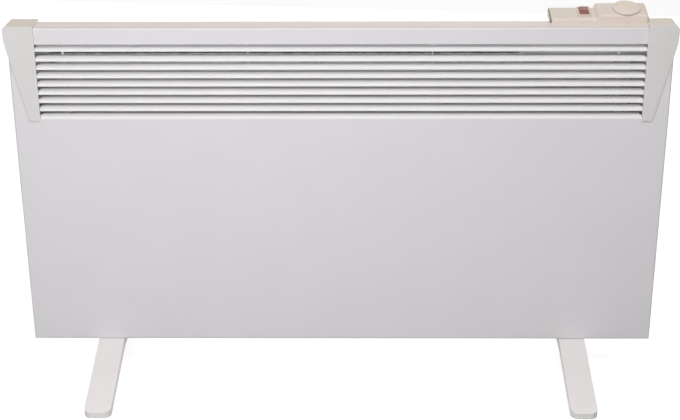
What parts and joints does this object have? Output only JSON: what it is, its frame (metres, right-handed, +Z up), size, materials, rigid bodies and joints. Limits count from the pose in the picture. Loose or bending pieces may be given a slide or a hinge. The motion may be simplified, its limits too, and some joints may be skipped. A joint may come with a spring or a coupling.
{
  "type": "convector heater",
  "caption": "Free-standing panel convector heater with full-width louvres, moulded end caps, a control pod with rocker switch and thermostat knob, and arched feet.",
  "frame": {"origin": "on the floor under the middle of the heater, midway between the front and back tips of the feet", "axes": "X along the heater towards the control pod, the front faces -Y, Z up"},
  "size_m": [0.8326, 0.322, 0.4938],
  "materials": {
    "front_panel_paint": "satin white powder coat",
    "louvre_paint": "satin white powder coat",
    "rear_panel_paint": "satin white powder coat",
    "cap_plastic": "fine-grained warm white",
    "pod_plastic": "fine-grained warm beige",
    "knob_plastic": "smooth warm beige",
    "foot_plastic": "fine-grained white",
    "switch_plastic": "smooth beige grey",
    "rocker_red": "translucent red",
    "gland_plastic": "dark flexible moulding",
    "bare_sheet": "zinc-coated sheet",
    "element_aluminium": "as extruded",
    "rod_steel": "oxidised sheath",
    "ceramic_white": "unglazed",
    "cutout_plastic": "dark phenolic",
    "lead_live": "silicone sleeve",
    "lead_neutral": "silicone sleeve",
    "screw_steel": "zinc-plated"
  },
  "bodies": {
    "heater": {"front_panel": "front_panel_paint", "louvre_grille": "louvre_paint", "rear_panel": "rear_panel_paint", "left_end_cap": "cap_plastic", "right_end_cap": "cap_plastic", "air_deflector": "bare_sheet", "heating_element": "element_aluminium", "heating_rod": "rod_steel", "left_insulator": "ceramic_white", "right_insulator": "ceramic_white", "left_element_bracket": "bare_sheet", "right_element_bracket": "bare_sheet", "thermal_cutout": "cutout_plastic", "control_base": "pod_plastic", "control_housing": "pod_plastic", "thermostat_body": "switch_plastic", "switch_frame": "switch_plastic", "terminal_block": "ceramic_white", "cord_gland": "gland_plastic", "live_lead": "lead_live", "link_lead": "lead_live", "neutral_lead": "lead_neutral", "left_foot": "foot_plastic", "right_foot": "foot_plastic", "left_foot_bracket": "bare_sheet", "right_foot_bracket": "bare_sheet", "foot_screws": "screw_steel", "rear_panel_screws": "screw_steel", "end_cap_screws": "screw_steel", "control_base_screws": "screw_steel", "housing_screws": "screw_steel"},
    "knob": {"thermostat_knob": "knob_plastic", "thermostat_spindle": "screw_steel"},
    "rocker": {"switch_rocker": "rocker_red"}
  },
  "joints": [
    {"name": "thermostat_turn", "type": "hinge", "parent": "heater", "child": "knob", "pos_m": [0.3555, 0.00784, 0.4875], "axis": [0, -0.2504, 0.9681], "range_deg": [-270, 0]},
    {"name": "rocker_tilt", "type": "hinge", "parent": "heater", "child": "rocker", "pos_m": [0.3035, 0.01101, 0.48176], "axis": [1, 0, 0], "range_deg": [-16, 0]}
  ]
}
